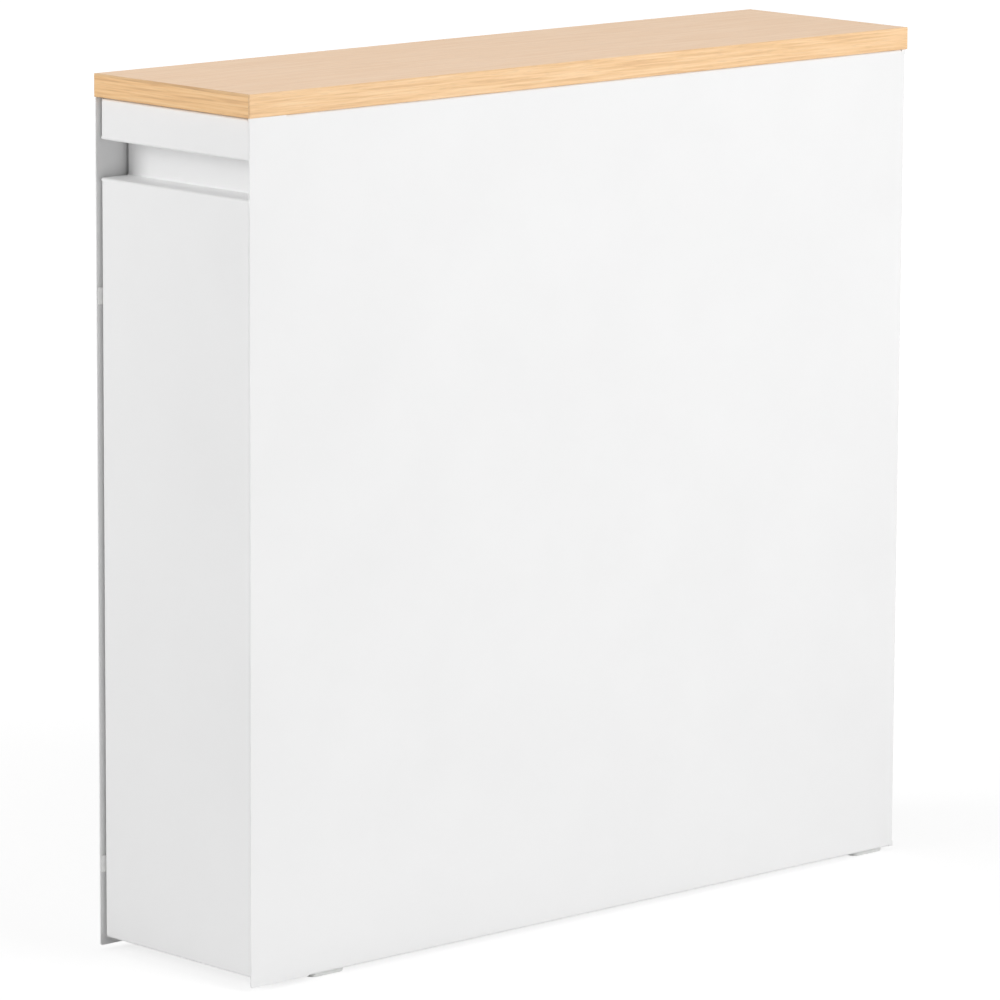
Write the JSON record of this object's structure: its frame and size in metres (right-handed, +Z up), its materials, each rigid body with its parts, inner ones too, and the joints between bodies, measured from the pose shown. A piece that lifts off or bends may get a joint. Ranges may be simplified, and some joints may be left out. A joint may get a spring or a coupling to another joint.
{
  "type": "toilet roll storage cabinet",
  "caption": "Slim upright cabinet with a wooden top, open-sided pull-out with two shelves on flat ball slides, and a recessed grip across its front.",
  "frame": {"origin": "on the floor, under the middle of the wooden top", "axes": "+Z up, the front and its grip face -Y, and X is the width"},
  "size_m": [0.131, 0.51, 0.495],
  "materials": {
    "powder_coated_steel": "matt white polyester powder coat on 1 mm sheet steel",
    "oak_veneer": "clear matt lacquer on pale oak veneer, straight grain along the depth",
    "nylon": "moulded natural nylon, satin",
    "foot_rubber": "moulded light grey rubber",
    "bumper_rubber": "moulded mid grey rubber",
    "zinc_plated_steel": "bright zinc plate on cold-rolled steel",
    "retainer_steel": "plain cold-rolled strip",
    "ball_steel": "polished hardened steel"
  },
  "bodies": {
    "casing": {"side_panel_left": "powder_coated_steel", "side_panel_right": "powder_coated_steel", "back_panel": "powder_coated_steel", "base_plate": "powder_coated_steel", "crossbar_front": "powder_coated_steel", "crossbar_rear": "powder_coated_steel", "wooden_top": "oak_veneer", "guide_strip_left_upper": "nylon", "guide_strip_left_lower": "nylon", "guide_strip_right_upper": "nylon", "guide_strip_right_lower": "nylon", "foot_front_left": "foot_rubber", "foot_front_right": "foot_rubber", "foot_rear_left": "foot_rubber", "foot_rear_right": "foot_rubber", "slide_outer_left": "zinc_plated_steel", "slide_outer_right": "zinc_plated_steel", "top_screws": "zinc_plated_steel", "back_screws": "zinc_plated_steel", "base_screws": "zinc_plated_steel", "slide_base_rivets": "zinc_plated_steel"},
    "pull_out": {"front_panel": "powder_coated_steel", "front_backing_plate": "powder_coated_steel", "lower_tray": "powder_coated_steel", "middle_shelf": "powder_coated_steel", "rear_plate": "powder_coated_steel", "side_bar_left_upper": "powder_coated_steel", "side_bar_left_lower": "powder_coated_steel", "side_bar_right_upper": "powder_coated_steel", "side_bar_right_lower": "powder_coated_steel", "slide_inner_left": "zinc_plated_steel", "slide_inner_right": "zinc_plated_steel", "slide_tray_rivets": "zinc_plated_steel", "frame_screws_front": "zinc_plated_steel", "frame_screws_rear": "zinc_plated_steel", "rear_bumper_upper": "bumper_rubber", "rear_bumper_lower": "bumper_rubber"},
    "middle_left": {"slide_middle_left": "zinc_plated_steel"},
    "middle_right": {"slide_middle_right": "zinc_plated_steel"},
    "outer_retainer_left": {"ball_retainer_outer_left": "retainer_steel", "bearing_balls_outer_left": "ball_steel"},
    "outer_retainer_right": {"ball_retainer_outer_right": "retainer_steel", "bearing_balls_outer_right": "ball_steel"},
    "inner_retainer_left": {"ball_retainer_inner_left": "retainer_steel", "bearing_balls_inner_left": "ball_steel"},
    "inner_retainer_right": {"ball_retainer_inner_right": "retainer_steel", "bearing_balls_inner_right": "ball_steel"}
  },
  "joints": [
    {"name": "pull_out_slide", "type": "slide", "parent": "casing", "child": "pull_out", "axis": [0, -1, 0], "range_m": [0, 0.4]},
    {"name": "outer_retainer_slide_left", "type": "slide", "parent": "casing", "child": "outer_retainer_left", "axis": [0, -1, 0], "range_m": [0, 0.1]},
    {"name": "middle_slide_left", "type": "slide", "parent": "casing", "child": "middle_left", "axis": [0, -1, 0], "range_m": [0, 0.2]},
    {"name": "inner_retainer_slide_left", "type": "slide", "parent": "casing", "child": "inner_retainer_left", "axis": [0, -1, 0], "range_m": [0, 0.3]},
    {"name": "outer_retainer_slide_right", "type": "slide", "parent": "casing", "child": "outer_retainer_right", "axis": [0, -1, 0], "range_m": [0, 0.1]},
    {"name": "middle_slide_right", "type": "slide", "parent": "casing", "child": "middle_right", "axis": [0, -1, 0], "range_m": [0, 0.2]},
    {"name": "inner_retainer_slide_right", "type": "slide", "parent": "casing", "child": "inner_retainer_right", "axis": [0, -1, 0], "range_m": [0, 0.3]}
  ],
  "couplings": [
    {"joint": "outer_retainer_slide_left", "follows": "pull_out_slide", "ratio": 0.25},
    {"joint": "middle_slide_left", "follows": "pull_out_slide", "ratio": 0.5},
    {"joint": "inner_retainer_slide_left", "follows": "pull_out_slide", "ratio": 0.75},
    {"joint": "outer_retainer_slide_right", "follows": "pull_out_slide", "ratio": 0.25},
    {"joint": "middle_slide_right", "follows": "pull_out_slide", "ratio": 0.5},
    {"joint": "inner_retainer_slide_right", "follows": "pull_out_slide", "ratio": 0.75}
  ]
}
